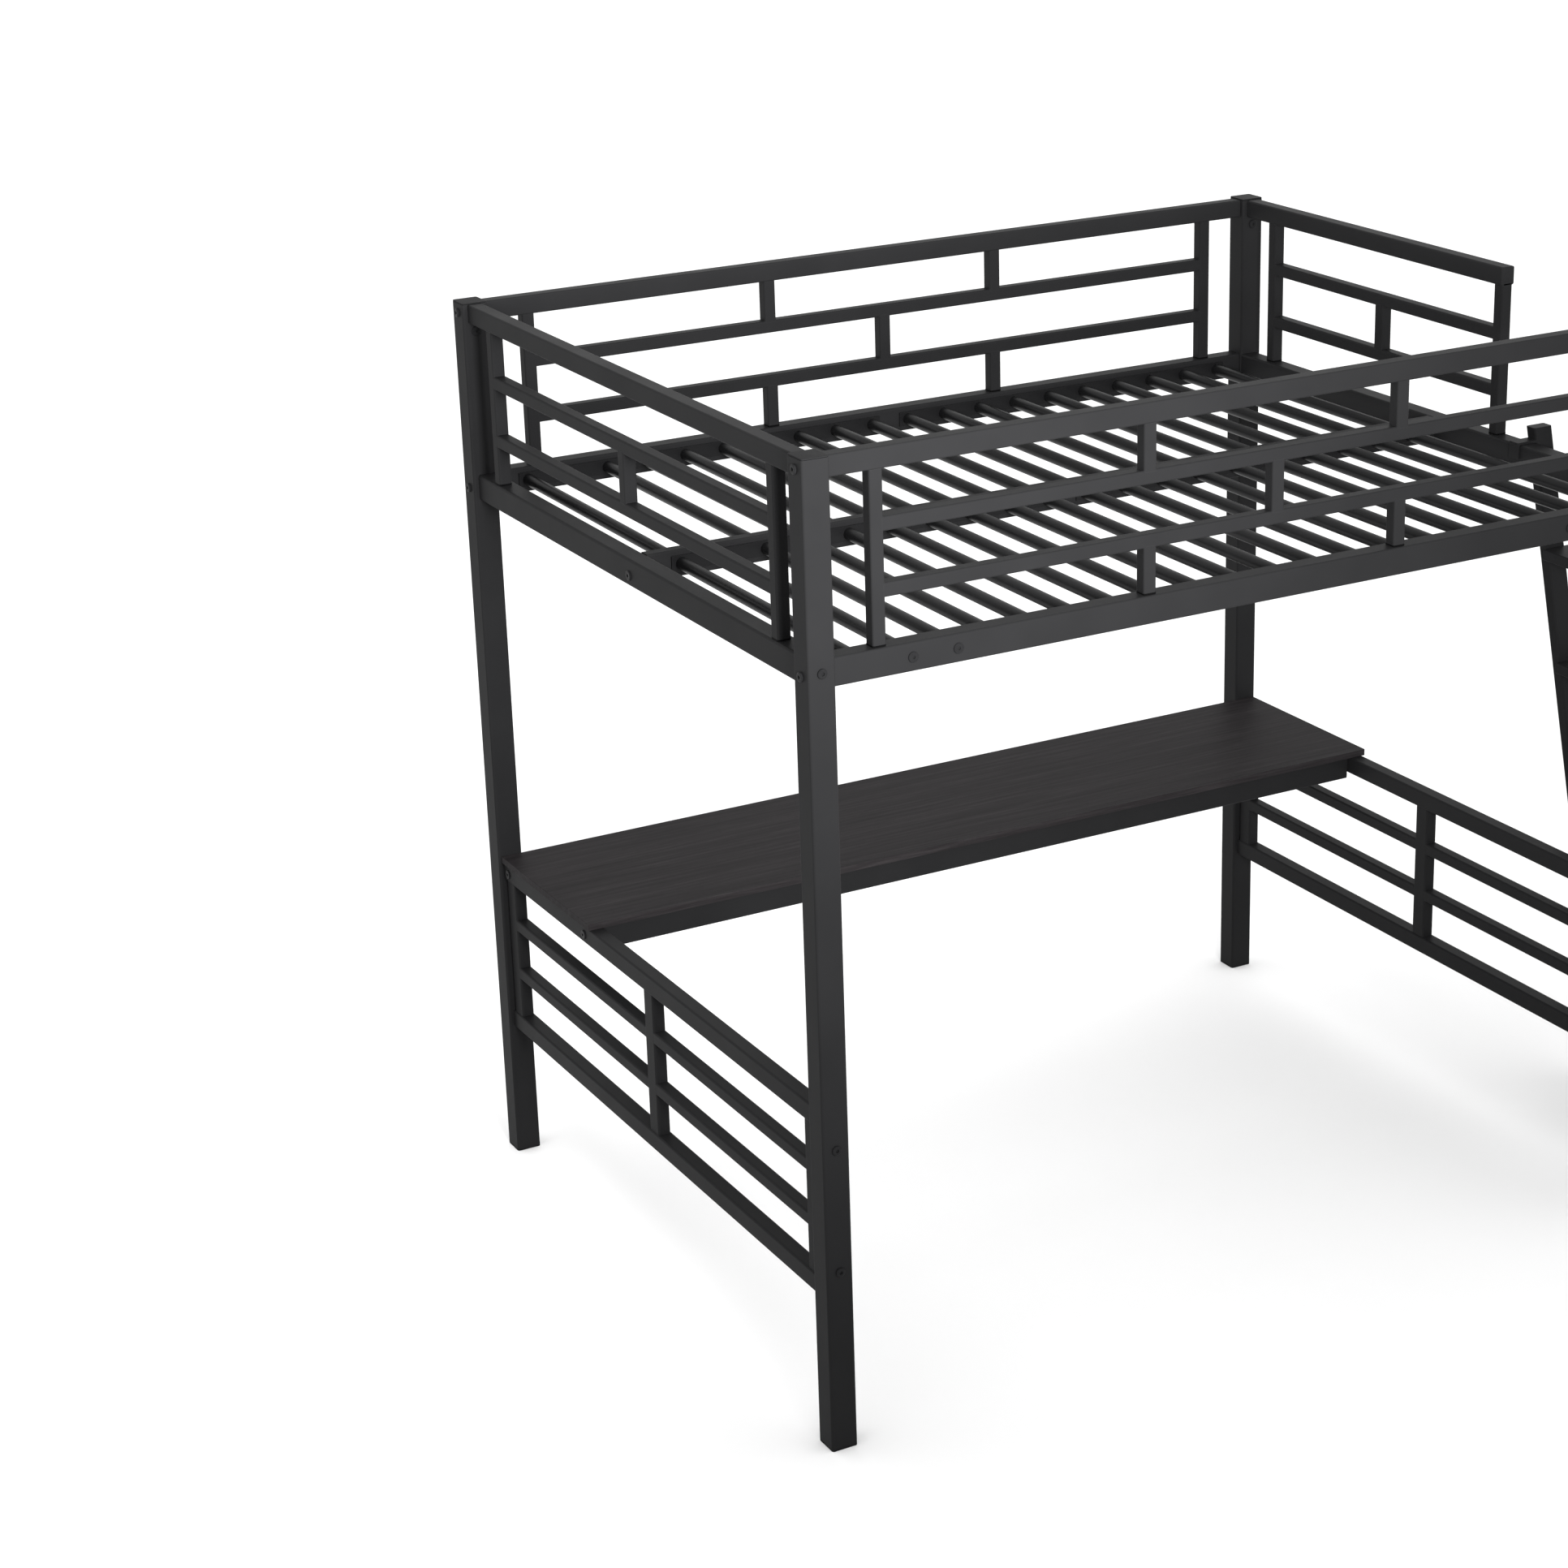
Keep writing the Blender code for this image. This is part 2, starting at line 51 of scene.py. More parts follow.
PLUG_TALL = 0.0032
PLUG_PROUD = 0.0006
WELD = 0.004
END_UPRIGHT = 0.160
SHORT_UPRIGHT = 0.300
TOP_RAIL_TALL = 0.042
SIDE_BARS = (1.901, 1.774)
END_BARS = (1.896, 1.766)
PANEL_BARS = (0.597, 0.476)
PANEL_FOOT_BAR = 0.346
PANEL_UPRIGHT_WIDE = 0.044
SLATS_PER_RACK = 10
SLAT_RADIUS = 0.0135
SLAT_END = 0.022
STRIP_THICK = 0.004
STILE_DEEP = 0.050
HOOK_THICK = 0.006
HOOK_DROP = 0.034
PLATE_CORNER = 0.001
PLATE_EASE = 0.0003
CAP_EASE = 0.0012
BOARD_CORNER = 0.0015
BOARD_EASE = 0.0008
STEP_CORNER = 0.003
LADDER_STEPS = 5
RAIL_SCREWS = (0.226, 0.324)  # from the outer face of a post
END_RAIL_SCREW = 0.800  # from the front of the bed
END_RAIL_SCREW_DROP = 0.006
DESK_SCREW_DROP = 0.022
GUARD_SCREW_HEIGHT = 1.989

# Bolts and screws: head radius, head height, shank radius, shank length, socket width
HEAD_TALL = 0.004
FRAME_BOLT = (0.010, HEAD_TALL, 0.003, 0.083, 0.0072)
SMALL_SCREW = (0.0108, 0.0030, 0.0028, 0.012, 0.0064)

GAP = 0.0003
EASE = 0.0006
ARC_STEPS = 5
STRIP_ARC_STEPS = 2
SLAT_SIDES = 40
BOLT_SIDES = 30
ALONG_X, ALONG_Y, ALONG_Z = 0, 1, 2
ENDS = ("left", "right")
SIDES = ("front", "back")


# Shapes


class Shape:
    """Bars and plates with rounded corners, gathered into one mesh."""

    def __init__(self):
        self.points = []
        self.normals = []
        self.faces = []

    def bar(self, low, high, along, corner, ease=EASE, steps=ARC_STEPS):
        """A bar from one corner of its box to the other. Ease rounds its two ends."""
        across, up = (along + 1) % 3, (along + 2) % 3
        turns = [math.radians(90 * step / 2) for step in range(3)]
        eased = [(ease * (1 - math.sin(turn)), ease * (1 - math.cos(turn)), turn) for turn in turns]
        rings = [(low[along] + back, inset, -turn) for back, inset, turn in eased[::-1]]
        rings += [(high[along] - back, inset, turn) for back, inset, turn in eased]
        start = len(self.points)
        count = 4 * (steps + 1)
        for place, inset, tilt in rings:
            radius = corner - inset
            for quarter in range(4):
                side_b = 1 if quarter in (0, 3) else -1
                side_c = 1 if quarter in (0, 1) else -1
                middle_b = (high[across] - corner) if side_b > 0 else (low[across] + corner)
                middle_c = (high[up] - corner) if side_c > 0 else (low[up] + corner)
                for step in range(steps + 1):
                    angle = math.pi / 2 * (quarter + step / steps)
                    point = [0.0, 0.0, 0.0]
                    point[along] = place
                    point[across] = middle_b + radius * math.cos(angle)
                    point[up] = middle_c + radius * math.sin(angle)
                    normal = [0.0, 0.0, 0.0]
                    normal[along] = math.sin(tilt)
                    normal[across] = math.cos(angle) * math.cos(tilt)
                    normal[up] = math.sin(angle) * math.cos(tilt)
                    self.points.append(point)
                    self.normals.append(normal)
        for ring in range(len(rings) - 1):
            for spot in range(count):
                a = start + ring * count + spot
                b = start + ring * count + (spot + 1) % count
                self.faces.append((a, b, b + count, a + count))
        self.faces.append(tuple(range(start + count - 1, start - 1, -1)))
        last = start + (len(rings) - 1) * count
        self.faces.append(tuple(range(last, last + count)))

    def lean(self, slope, foot):
        """Slides every point along X, by the slope for each metre above the foot."""
        for point, normal in zip(self.points, self.normals):
            point[0] += (point[2] - foot) * slope
            normal[2] -= slope * normal[0]

    def mesh(self, name):
        made = bpy.data.meshes.new(name)
        made.from_pydata(self.points, [], self.faces)
        made.shade_smooth()
        made.normals_split_custom_set_from_vertices([Vector(n).normalized() for n in self.normals])
        return made


def spans(*pairs):
    """The low and high corner of a box from one pair of numbers for each axis."""
    low = [min(pair) for pair in pairs]
    high = [max(pair) for pair in pairs]
    return low, high


def around(middle, width):
    return (middle - width / 2, middle + width / 2)


def place_piece(name, mesh, material, nodes):
    """Puts a finished mesh on the bed, in place of the solids it stands for."""
    made = bpy.data.objects.new(name, mesh)
    bpy.context.scene.collection.objects.link(made)
    mesh.materials.clear()
    mesh.materials.append(material)
    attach(made, "root")
    if nodes:
        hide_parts(*nodes)
    return made


# Materials


class Wire:
    """A socket that can be added, multiplied and so on. Each sum adds a Math node."""

    def __init__(self, tree, socket=None):
        self.tree = tree
        self.socket = socket

    def node(self, kind, settings=None, sockets=None, out=0):
        """Adds any node: its type, its settings, then its sockets by name or number."""
        made = self.tree.nodes.new(kind)
        for key, value in (settings or {}).items():
            if key == "stops":
                ramp = made.color_ramp
                while len(ramp.elements) < len(value):
                    ramp.elements.new(0.5)
                for stop, (place, colour) in zip(ramp.elements, value):
                    stop.position = place
                    stop.color = colour
            else:
                setattr(made, key, value)
        for key, value in (sockets or {}).items():
            if isinstance(value, Wire):
                self.tree.links.new(value.socket, made.inputs[key])
            else:
                made.inputs[key].default_value = value
        return Wire(self.tree, made.outputs[out])

    def math(self, operation, first, second):
        return self.node("ShaderNodeMath", {"operation": operation}, {0: first, 1: second})

    def __add__(self, other):
        return self.math("ADD", self, other)

    def __sub__(self, other):
        return self.math("SUBTRACT", self, other)

    def __rsub__(self, other):
        return self.math("SUBTRACT", other, self)

    def __mul__(self, other):
        return self.math("MULTIPLY", self, other)

    def clamped(self):
        return self.node("ShaderNodeClamp", {}, {"Value": self})

    def blend(self, mask, first, second):
        """A colour between two others, by a mask from 0 to 1."""
        sockets = {"Factor": mask, 6: first, 7: second}
        return self.node("ShaderNodeMix", {"data_type": "RGBA"}, sockets, out=2)


def new_finish(name):
    made = bpy.data.materials.new(name)
    made.use_nodes = True
    tree = made.node_tree
    shader = tree.nodes["Principled BSDF"]
    return made, Wire(tree), shader


def set_shader(wire, shader, **values):
    for name, value in values.items():
        socket = shader.inputs[name.replace("_", " ").title()]
        if isinstance(value, Wire):
            wire.tree.links.new(value.socket, socket)
        else:
            socket.default_value = value


def surface_noise(wire, scale, detail=3.0, stretch=(1.0, 1.0, 1.0), roughness=0.5):
    where = wire.node("ShaderNodeTexCoord", out=3)
    where = wire.node("ShaderNodeMapping", {}, {"Vector": where, "Scale": stretch})
    sockets = {"Vector": where, "Scale": scale, "Detail": detail, "Roughness": roughness}
    return wire.node("ShaderNodeTexNoise", {}, sockets)


def bumps(wire, strength, distance, height):
    sockets = {"Strength": strength, "Distance": distance, "Height": height}
    return wire.node("ShaderNodeBump", {}, sockets)


def edge_mask(wire, radius):
    """1 on sharp edges, 0 on flats."""
    soft = wire.node("ShaderNodeBevel", {"samples": 4}, {"Radius": radius})
    true = wire.node("ShaderNodeNewGeometry", out=1)
    dot = {"operation": "DOT_PRODUCT"}
    same = wire.node("ShaderNodeVectorMath", dot, {0: soft, 1: true}, out=1)
    return ((1.0 - same) * 6.0).clamped()


def powder_coat(name, colour, roughness, gloss):
    """Matt black powder coat: a fine pebbled skin, faint clouding and rubbed edges."""
    made, wire, shader = new_finish(name)
    pebble = surface_noise(wire, 1500.0, detail=2.0)
    cloud = surface_noise(wire, 7.0, detail=4.0)
    streak = surface_noise(wire, 60.0, detail=3.0)
    rubbed = edge_mask(wire, 0.0015) * streak
    dark = (*[channel * 0.86 for channel in colour], 1.0)
    light = (*[channel * 1.16 for channel in colour], 1.0)
    base = wire.blend(cloud, dark, light)
    worn = (*[channel * 1.9 + 0.01 for channel in colour], 1.0)
    base = wire.blend(rubbed * 0.5, base, worn)
    shine = (cloud - 0.5) * 0.16 + (pebble - 0.5) * 0.10 + roughness
    skin = bumps(wire, 0.35, 0.00006, pebble)
    set_shader(wire, shader, base_color=base, roughness=shine - rubbed * 0.08, normal=skin)
    shader.inputs["Specular IOR Level"].default_value = gloss
    return made


def moulded_plastic(name, colour, roughness):
    made, wire, shader = new_finish(name)
    pebble = surface_noise(wire, 900.0, detail=1.0)
    cloud = surface_noise(wire, 20.0)
    dark = (*[channel * 0.9 for channel in colour], 1.0)
    light = (*[channel * 1.15 for channel in colour], 1.0)
    skin = bumps(wire, 0.3, 0.0001, pebble)
    shine = (cloud - 0.5) * 0.2 + roughness
    base = wire.blend(cloud, dark, light)
    set_shader(wire, shader, base_color=base, roughness=shine, normal=skin)
    shader.inputs["Specular IOR Level"].default_value = 0.03
    return made


def blackened_steel(name, colour, roughness):
    made, wire, shader = new_finish(name)
    shader.inputs["Metallic"].default_value = 0.1
    shader.inputs["Specular IOR Level"].default_value = 0.06
    cloud = surface_noise(wire, 160.0, detail=4.0)
    rubbed = edge_mask(wire, 0.0006)
    dark = (*[channel * 0.8 for channel in colour], 1.0)
    light = (*[channel * 1.3 for channel in colour], 1.0)
    worn = (*[channel * 2.2 for channel in colour], 1.0)
    base = wire.blend(rubbed * 0.5, wire.blend(cloud, dark, light), worn)
    shine = (cloud - 0.5) * 0.3 + roughness
    set_shader(wire, shader, base_color=base, roughness=shine)
    return made


def wood_laminate(name):
    """Dark printed oak: long soft bands, fine fibres and short pores, all along X."""
    made, wire, shader = new_finish(name)
    bands = surface_noise(wire, 1.0, detail=5.0, stretch=(1.1, 17.0, 17.0), roughness=0.62)
    waves = surface_noise(wire, 1.0, detail=4.0, stretch=(3.0, 90.0, 90.0), roughness=0.6)
    fibres = surface_noise(wire, 1.0, detail=3.0, stretch=(14.0, 900.0, 900.0), roughness=0.6)
    pores = surface_noise(wire, 1.0, detail=2.0, stretch=(45.0, 1600.0, 1600.0))
    tone = (bands - 0.5) * 0.8 + (waves - 0.5) * 1.1 + (fibres - 0.5) * 1.2 + 0.5
    tone = tone.clamped()
    stops = [
        (0.0, (0.0068, 0.0061, 0.0065, 1.0)),
        (0.35, (0.0116, 0.0104, 0.0110, 1.0)),
        (0.65, (0.0172, 0.0156, 0.0164, 1.0)),
        (1.0, (0.0300, 0.0272, 0.0281, 1.0)),
    ]
    base = wire.node("ShaderNodeValToRGB", {"stops": stops}, {0: tone})
    pit = ((pores - 0.62) * 9.0).clamped()
    base = wire.blend(pit * 0.45, base, (0.010, 0.009, 0.0095, 1.0))
    shine = (fibres - 0.5) * 0.20 + (bands - 0.5) * 0.10 + 0.56
    height = fibres * 0.6 + waves * 0.4 - pit * 0.5
    skin = bumps(wire, 0.30, 0.00012, height)
    set_shader(wire, shader, base_color=base, roughness=shine + pit * 0.1, normal=skin)
    shader.inputs["Specular IOR Level"].default_value = 0.03
    return made


FRAME_PAINT = powder_coat("black powder coat", (0.0098, 0.0098, 0.0102), 0.48, 0.036)
SLAT_PAINT = powder_coat("slat powder coat", (0.0058, 0.0058, 0.0061), 0.36, 0.070)
CAP_PLASTIC = moulded_plastic("cap plastic", (0.0085, 0.0085, 0.0089), 0.52)
# Near-black plug plastic, darker than the frame paint: painted shadow for the dark contact line
# under each guard upright
PLUG_SHADOW_PLASTIC = moulded_plastic("plug plastic", (0.0020, 0.0020, 0.0021), 0.60)
BOLT_BLACK = blackened_steel("blackened bolt steel", (0.0076, 0.0076, 0.0080), 0.40)
DESK_LAMINATE = wood_laminate("dark oak laminate")


# Pieces that follow one solid each


def plain_bar(node, along, corner, material, ease=EASE):
    low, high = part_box(node)
    shape = Shape()
    shape.bar(low, high, along, corner, ease)
    made = place_piece(f"{node}_finish", shape.mesh(node), material, [node])


def posts_and_rails():
    for end in ENDS:
        for side in SIDES:
            place = f"{side}_{end}"
            plain_bar(f"post_{place}", ALONG_Z, POST_CORNER, FRAME_PAINT)
            for plate in ("foot_pad", "post_cap"):
                node = f"{plate}_{place}"
                plain_bar(node, ALONG_Z, POST_CORNER, CAP_PLASTIC, CAP_EASE)
        plain_bar(f"bed_rail_{end}", ALONG_Y, RAIL_CORNER, FRAME_PAINT)
    for side in SIDES:
        plain_bar(f"bed_rail_{side}", ALONG_X, RAIL_CORNER, FRAME_PAINT)
        plain_bar(f"desk_beam_{side}", ALONG_X, RAIL_CORNER, FRAME_PAINT)
    plain_bar("centre_beam", ALONG_X, THIN_CORNER, FRAME_PAINT)
    plain_bar("desk_cross_bar", ALONG_Y, THIN_CORNER, FRAME_PAINT)
    plain_bar("desk_board", ALONG_Z, BOARD_CORNER, DESK_LAMINATE, BOARD_EASE)
    for number in range(1, LADDER_STEPS + 1):
        plain_bar(f"ladder_step_{number}", ALONG_Y, STEP_CORNER, FRAME_PAINT)


# Welded frames


def side_guard(side):
    node = f"guard_{side}"
    low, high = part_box(node)
    y_middle = (low.y + high.y) / 2
    x_middle = (low.x + high.x) / 2
    slim = THIN_BAR - THIN_SLACK
    under_top = high.z - TOP_RAIL_TALL
    upper, lower = SIDE_BARS
    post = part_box(f"post_{side}_left")[0].x
    first = post + END_UPRIGHT
    shape = Shape()
    shape.bar(*spans((low.x, high.x), (low.y, high.y), (under_top, high.z)), ALONG_X, THIN_CORNER)
    uprights = [
        (first, low.z, under_top + WELD),
        (2 * x_middle - first, low.z, under_top + WELD),
        (x_middle, lower + slim / 2 - WELD, upper - slim / 2 + WELD),
    ]
    for place in (x_middle - SHORT_UPRIGHT, x_middle + SHORT_UPRIGHT):
        uprights.append((place, upper + slim / 2 - WELD, under_top + WELD))
        uprights.append((place, low.z, lower - slim / 2 + WELD))
    for place, foot, top in uprights:
        box = spans(around(place, THIN_BAR), around(y_middle, THIN_BAR), (foot, top))
        shape.bar(*box, ALONG_Z, THIN_CORNER)
    reach = THIN_BAR / 2 - WELD
    bar_x = (first + reach, 2 * x_middle - first - reach)
    for height in SIDE_BARS:
        box = spans(bar_x, around(y_middle, slim), around(height, slim))
        shape.bar(*box, ALONG_X, THIN_CORNER)
    made = place_piece(f"{node}_finish", shape.mesh(node), FRAME_PAINT, [node])
    foot_shadow_plugs(node, [(place, y_middle, foot) for place, foot, _ in uprights if foot == low.z])


def foot_shadow_plugs(node, feet):
    """A thin plastic plug in the open foot of each upright that stands on a rail. Its near-black
    colour is painted shadow: it stands in for the dark contact shadow where the upright meets the
    rail.
    """
    shape = Shape()
    wide = THIN_BAR + PLUG_PROUD
    for x, y, z in feet:
        box = spans(around(x, wide), around(y, wide), (z, z + PLUG_TALL))
        shape.bar(*box, ALONG_Z, THIN_CORNER)
    made = place_piece(f"{node}_foot_plugs", shape.mesh(f"{node} plugs"), PLUG_SHADOW_PLASTIC, [])


def end_guard(end):
    node = f"guard_{end}"
    low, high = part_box(node)
    x_middle = (low.x + high.x) / 2
    slim = THIN_BAR - THIN_SLACK
    under_top = high.z - TOP_RAIL_TALL
    upper, lower = END_BARS
    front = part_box(f"post_front_{end}")[0].y
    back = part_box(f"post_back_{end}")[1].y
    first = front + END_UPRIGHT if end == "left" else low.y + THIN_BAR / 2
    last = back - END_UPRIGHT
    shape = Shape()
    shape.bar(*spans((low.x, high.x), (low.y, high.y), (under_top, high.z)), ALONG_Y, THIN_CORNER)
    uprights = [
        (first, low.z, under_top + WELD),
        (last, low.z, under_top + WELD),
        ((first + last) / 2, lower + slim / 2 - WELD, upper - slim / 2 + WELD),
    ]
    for place, foot, top in uprights:
        box = spans(around(x_middle, THIN_BAR), around(place, THIN_BAR), (foot, top))
        shape.bar(*box, ALONG_Z, THIN_CORNER)
    reach = THIN_BAR / 2 - WELD
    for height in END_BARS:
        box = spans(around(x_middle, slim), (first + reach, last - reach), around(height, slim))
        shape.bar(*box, ALONG_Y, THIN_CORNER)
    made = place_piece(f"{node}_finish", shape.mesh(node), FRAME_PAINT, [node])
    foot_shadow_plugs(node, [(x_middle, place, foot) for place, foot, _ in uprights if foot == low.z])


def end_panel(end):
    node = f"end_panel_{end}"
    low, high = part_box(node)
    x_middle = (low.x + high.x) / 2
    y_middle = (low.y + high.y) / 2
    slim = THIN_BAR - THIN_SLACK
    foot_z = around(PANEL_FOOT_BAR, TOP_RAIL_TALL)
    under_top = high.z - TOP_RAIL_TALL
    shape = Shape()
    for z in ((under_top, high.z), foot_z):
        shape.bar(*spans((low.x, high.x), (low.y, high.y), z), ALONG_Y, THIN_CORNER)
    inset = WELD + PANEL_UPRIGHT_WIDE / 2
    places = (low.y + inset, y_middle, high.y - inset)
    upright_z = (foot_z[1] - WELD, under_top + WELD)
    for place in places:
        box = spans(around(x_middle, THIN_BAR), around(place, PANEL_UPRIGHT_WIDE), upright_z)
        shape.bar(*box, ALONG_Z, THIN_CORNER)
    for height in PANEL_BARS:
        box = spans(around(x_middle, slim), (places[0], places[2]), around(height, slim))
        shape.bar(*box, ALONG_Y, THIN_CORNER)
    made = place_piece(f"{node}_finish", shape.mesh(node), FRAME_PAINT, [node])


def ladder_stile(side):
    node = f"ladder_stile_{side}"
    low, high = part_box(node)
    rail_low, rail_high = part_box("bed_rail_right")
    slope = (rail_high.x + GAP + STILE_DEEP - high.x) / rail_high.z
    stile = Shape()
    upright = spans((high.x - STILE_DEEP, high.x), (low.y, high.y), (low.z, high.z))
    stile.bar(*upright, ALONG_Z, THIN_CORNER)
    stile.lean(slope, low.z)
    hook_low = rail_high.z + GAP
    hook_start = rail_low.x - GAP - HOOK_THICK
    hook_end = high.x - STILE_DEEP / 2 + slope * hook_low
    inner_y = (low.y + THIN_SLACK, high.y - THIN_SLACK)
    over = spans((hook_start, hook_end), inner_y, (hook_low, hook_low + HOOK_THICK))
    stile.bar(*over, ALONG_Y, PLATE_CORNER, PLATE_EASE)
    lip_top = hook_low + HOOK_THICK / 2
    lip_x = (hook_start + THIN_SLACK, hook_start + HOOK_THICK)
    lip = spans(lip_x, (low.y, high.y), (lip_top - HOOK_DROP, lip_top))
    stile.bar(*lip, ALONG_Z, PLATE_CORNER, PLATE_EASE)
    made = place_piece(f"{node}_finish", stile.mesh(node), FRAME_PAINT, [node])


# Pieces that repeat, made with Geometry Nodes


class Nodes:
    """A Geometry Nodes tree with named inputs."""

    def __init__(self, name, inputs):
        self.tree = bpy.data.node_groups.new(name, "GeometryNodeTree")
        face = self.tree.interface
        face.new_socket(name="Geometry", in_out="OUTPUT", socket_type="NodeSocketGeometry")
        face.new_socket(name="Geometry", in_out="INPUT", socket_type="NodeSocketGeometry")
        for label, kind in inputs.items():
            face.new_socket(name=label, in_out="INPUT", socket_type=kind)
        self.start = self.tree.nodes.new("NodeGroupInput")
        self.end = self.tree.nodes.new("NodeGroupOutput")

    def given(self, label):
        return self.start.outputs[label]

    def node(self, kind, settings=None, sockets=None):
        made = self.tree.nodes.new(kind)
        for key, value in (settings or {}).items():
            setattr(made, key, value)
        for key, value in (sockets or {}).items():
            if isinstance(value, bpy.types.NodeSocket):
                self.tree.links.new(value, made.inputs[key])
            else:
                made.inputs[key].default_value = value
        return made

    def finish(self, geometry, material):
        real = self.node("GeometryNodeRealizeInstances", {}, {"Geometry": geometry})
        painted = self.node(
            "GeometryNodeSetMaterial", {}, {"Geometry": real.outputs[0], "Material": material}
        )
        self.tree.links.new(painted.outputs[0], self.end.inputs[0])

    def grow(self, mesh, values):
        """Runs the tree on a mesh and gives back the plain mesh that it makes."""
        holder = bpy.data.objects.new(mesh.name, mesh)
        bpy.context.scene.collection.objects.link(holder)
        modifier = holder.modifiers.new(self.tree.name, "NODES")
        modifier.node_group = self.tree
        for item in self.tree.interface.items_tree:
            if item.in_out == "INPUT" and item.name in values:
                modifier[item.identifier] = values[item.name]
        holder.update_tag()
        graph = bpy.context.evaluated_depsgraph_get()
        grown = bpy.data.meshes.new_from_object(
            holder.evaluated_get(graph), preserve_all_data_layers=True, depsgraph=graph
        )
        grown.name = f"{mesh.name} grown"
        holder.modifiers.clear()
        bpy.data.objects.remove(holder)
        return grown


def slat_tree():
    """Round slats set side by side, joined to the strips that come in."""
    inputs = {
        "Slats": "NodeSocketInt",
        "First": "NodeSocketVector",
        "Step": "NodeSocketVector",
        "Radius": "NodeSocketFloat",
        "Length": "NodeSocketFloat",
        "Paint": "NodeSocketMaterial",
    }
    nodes = Nodes("slat row", inputs)
    row = nodes.node(
        "GeometryNodeMeshLine",
        {"mode": "OFFSET"},
        {
            "Count": nodes.given("Slats"),
            "Start Location": nodes.given("First"),
            "Offset": nodes.given("Step"),
        },
    )
    tube = nodes.node(
        "GeometryNodeMeshCylinder",
        {},
        {
            "Vertices": SLAT_SIDES,
            "Radius": nodes.given("Radius"),
            "Depth": nodes.given("Length"),
        },
    )
    smooth = nodes.node(
        "GeometryNodeSetShadeSmooth",
        {},
        {"Geometry": tube.outputs["Mesh"], "Selection": tube.outputs["Side"]},
    )
    slats = nodes.node(
        "GeometryNodeInstanceOnPoints",
        {},
        {
            "Points": row.outputs[0],
            "Instance": smooth.outputs[0],
            "Rotation": (math.pi / 2, 0.0, 0.0),
        },
    )
    joined = nodes.node("GeometryNodeJoinGeometry")
    nodes.tree.links.new(slats.outputs[0], joined.inputs[0])
    nodes.tree.links.new(nodes.given("Geometry"), joined.inputs[0])
    nodes.finish(joined.outputs[0], nodes.given("Paint"))
    return nodes


def slat_racks():
    nodes = slat_tree()
    for side in SIDES:
        for end in ENDS:
            node = f"slat_rack_{side}_{end}"
            low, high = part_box(node)
            strips = Shape()
            for y in ((low.y, low.y + STRIP_THICK), (high.y - STRIP_THICK, high.y)):
                strip = spans((low.x, high.x), y, (low.z, high.z))
                strips.bar(*strip, ALONG_X, PLATE_CORNER, PLATE_EASE, STRIP_ARC_STEPS)
            first = low.x + SLAT_END
            step = (high.x - low.x - 2 * SLAT_END) / (SLATS_PER_RACK - 1)
            middle = (low + high) / 2
            values = {
                "Slats": SLATS_PER_RACK,
                "First": (first, middle.y, middle.z),
                "Step": (step, 0.0, 0.0),
                "Radius": SLAT_RADIUS,
                "Length": high.y - low.y - STRIP_THICK,
                "Paint": SLAT_PAINT,
            }
            grown = nodes.grow(strips.mesh(node), values)
            made = place_piece(f"{node}_finish", grown, SLAT_PAINT, [node])


def turned_bolt(name, head_radius, head_tall, shank_radius, shank_long, socket_flat):
    """A round-headed bolt with a six-sided socket. Its head stands up from the origin."""
    sides = BOLT_SIDES
    edge = head_tall * 0.42
    outline = [
        (shank_radius, -shank_long, False),
        (shank_radius, 0.0, False),
        (head_radius, 0.0, False),
        (head_radius, head_tall - edge, False),
    ]
    for step in range(1, 5):
        turn = math.radians(90 * step / 4)
        radius = head_radius - edge * 1.6 * (1 - math.cos(turn))
        outline.append((radius, head_tall - edge + edge * math.sin(turn), False))
    outline.append((socket_flat / 2 * 1.18, head_tall, False))
    outline.append((socket_flat / 2, head_tall - 0.0002, True))
    outline.append((socket_flat / 2, head_tall * 0.3, True))
    points = []
    for radius, height, six_sided in outline:
        for side in range(sides):
            angle = 2 * math.pi * side / sides
            reach = radius
            if six_sided:
                off_flat = (angle + math.pi / 6) % (math.pi / 3) - math.pi / 6
                reach = radius / math.cos(off_flat)
            points.append((reach * math.cos(angle), reach * math.sin(angle), height))
    faces = []
    for ring in range(len(outline) - 1):
        for side in range(sides):
            a = ring * sides + side
            b = ring * sides + (side + 1) % sides
            faces.append((a, b, b + sides, a + sides))
    faces.append(tuple(range(sides - 1, -1, -1)))
    last = (len(outline) - 1) * sides
    faces.append(tuple(range(last, last + sides)))
    mesh = bpy.data.meshes.new(name)
    mesh.from_pydata(points, [], faces)
    mesh.shade_smooth()
    mesh.set_sharp_from_angle(angle=math.radians(32))
    mesh.materials.append(BOLT_BLACK)
    return bpy.data.objects.new(name, mesh)


